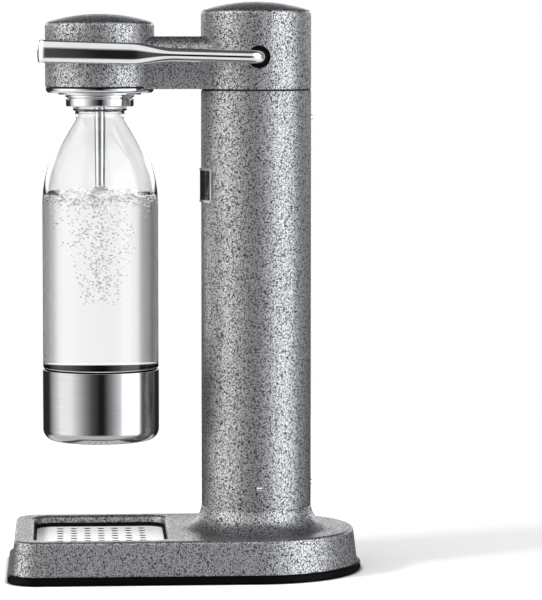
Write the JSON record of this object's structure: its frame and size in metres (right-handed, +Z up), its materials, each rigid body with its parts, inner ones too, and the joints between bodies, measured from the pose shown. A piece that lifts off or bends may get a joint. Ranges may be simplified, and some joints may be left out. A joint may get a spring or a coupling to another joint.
{
  "type": "sparkling water maker",
  "caption": "Lever-worked countertop sparkling water maker: tall round tower on a base with a drip tray, head with nozzle over a clear bottle in a steel cup, U-shaped lever",
  "frame": {"origin": "middle of the base's plan, on the table under the rubber feet", "axes": "+Z up, the front (drip tray and bottle) faces -Y, the tower stands towards +Y, and +X is on the right of someone who looks along +Y"},
  "size_m": [0.153, 0.258, 0.4142],
  "materials": {
    "hammered_paint": "hammered silver-grey paint",
    "black_plastic": "fine matt black",
    "rubber": "matt black rubber",
    "hose_rubber": "smooth black hose",
    "screw_steel": "bright zinc plate",
    "grille_steel": "light satin steel",
    "cast_aluminium": "turned aluminium",
    "badge_metal": "satin metal frame",
    "badge_black": "black enamel, left bare",
    "ring_steel": "polished steel",
    "collar_chrome": "chrome plate",
    "nozzle_steel": "fine drawn steel",
    "brass": "turned brass",
    "spring_steel": "bright spring wire",
    "bush_plastic": "moulded black bearing plastic",
    "lever_steel": "polished steel",
    "shaft_steel": "turned steel",
    "cylinder_aluminium": "brushed aluminium",
    "clear_bottle": "clear bottle plastic",
    "cup_steel": "brushed round the cup",
    "water": "clear sparkling water"
  },
  "bodies": {
    "root": {"base_shell": "hammered_paint", "base_plinth": "black_plastic", "foot_pads": "rubber", "plinth_screws": "screw_steel", "tower_tube": "hammered_paint", "tower_spigot": "cast_aluminium", "tower_screws": "screw_steel", "seam_gasket": "rubber", "badge_frame": "badge_metal", "badge_insert": "badge_black", "cylinder_guide_lower": "black_plastic", "cylinder_guide_upper": "black_plastic", "valve_bracket": "cast_aluminium", "upper_housing": "hammered_paint", "housing_screws": "screw_steel", "bridge_cover": "black_plastic", "head_gasket": "rubber", "head_ring": "ring_steel", "bottle_receiver": "black_plastic", "receiver_collar": "collar_chrome", "receiver_screws": "screw_steel", "nozzle_manifold": "black_plastic", "carbonation_nozzle": "nozzle_steel", "nozzle_tip": "nozzle_steel", "nozzle_seal": "rubber", "relief_valve": "brass", "relief_spring": "spring_steel", "relief_cap": "brass", "gas_hose": "hose_rubber", "hose_fittings": "brass", "valve_block": "brass", "valve_nut": "brass", "plunger_spring": "spring_steel", "lever_bushes": "bush_plastic"},
    "drip_tray": {"drip_tray": "black_plastic"},
    "drip_grille": {"drip_grille": "grille_steel"},
    "plunger": {"valve_plunger": "nozzle_steel"},
    "lever": {"lever": "lever_steel", "lever_shaft": "shaft_steel", "lever_cam": "shaft_steel", "lever_set_screws": "screw_steel"},
    "gas_cylinder": {"gas_cylinder": "cylinder_aluminium", "cylinder_valve": "brass"},
    "valve_pin": {"valve_pin": "nozzle_steel"},
    "cylinder_seal": {"cylinder_seal": "rubber"},
    "neck_seal": {"neck_seal": "rubber"},
    "bottle": {"bottle_body": "clear_bottle", "bottle_cup": "cup_steel", "cup_liner": "black_plastic", "bottle_water": "water"}
  },
  "joints": [
    {"name": "lever_turn", "type": "hinge", "parent": "root", "child": "lever", "pos_m": [0, 0.0525, 0.3745], "axis": [1, 0, 0], "range_deg": [0, 20], "stiffness_Nm_per_rad": 2, "springref_deg": -20.05},
    {"name": "plunger_press", "type": "slide", "parent": "root", "child": "plunger", "axis": [0, 0, -1], "range_m": [0, 0.0021], "deforming": ["plunger_spring"]},
    {"name": "cylinder_drop", "type": "slide", "parent": "root", "child": "cylinder_seal", "axis": [0, 0, -1], "range_m": [0, 0.004]},
    {"name": "cylinder_turn", "type": "hinge", "parent": "cylinder_seal", "child": "gas_cylinder", "pos_m": [0, 0.0525, 0], "axis": [0, 0, -1], "range_deg": [0, 362]},
    {"name": "pin_press", "type": "slide", "parent": "gas_cylinder", "child": "valve_pin", "axis": [0, 0, -1], "range_m": [0, 0.0021]},
    {"name": "bottle_twist", "type": "hinge", "parent": "root", "child": "neck_seal", "pos_m": [0, -0.0609, 0], "axis": [0, 0, -1], "range_deg": [0, 90]},
    {"name": "bottle_drop", "type": "slide", "parent": "neck_seal", "child": "bottle", "axis": [0, 0, 1], "range_m": [-0.07, 0]},
    {"name": "tray_lift", "type": "slide", "parent": "root", "child": "drip_tray", "axis": [0, 0, 1], "range_m": [0, 0.03]},
    {"name": "grille_lift", "type": "slide", "parent": "drip_tray", "child": "drip_grille", "axis": [0, 0, 1], "range_m": [0, 0.025]}
  ],
  "couplings": [
    {"joint": "plunger_press", "follows": "lever_turn", "m_per_rad": 0.0057319},
    {"joint": "pin_press", "follows": "lever_turn", "m_per_rad": 0.0057319},
    {"joint": "cylinder_turn", "follows": "cylinder_drop", "rad_per_m": 1570.8}
  ]
}
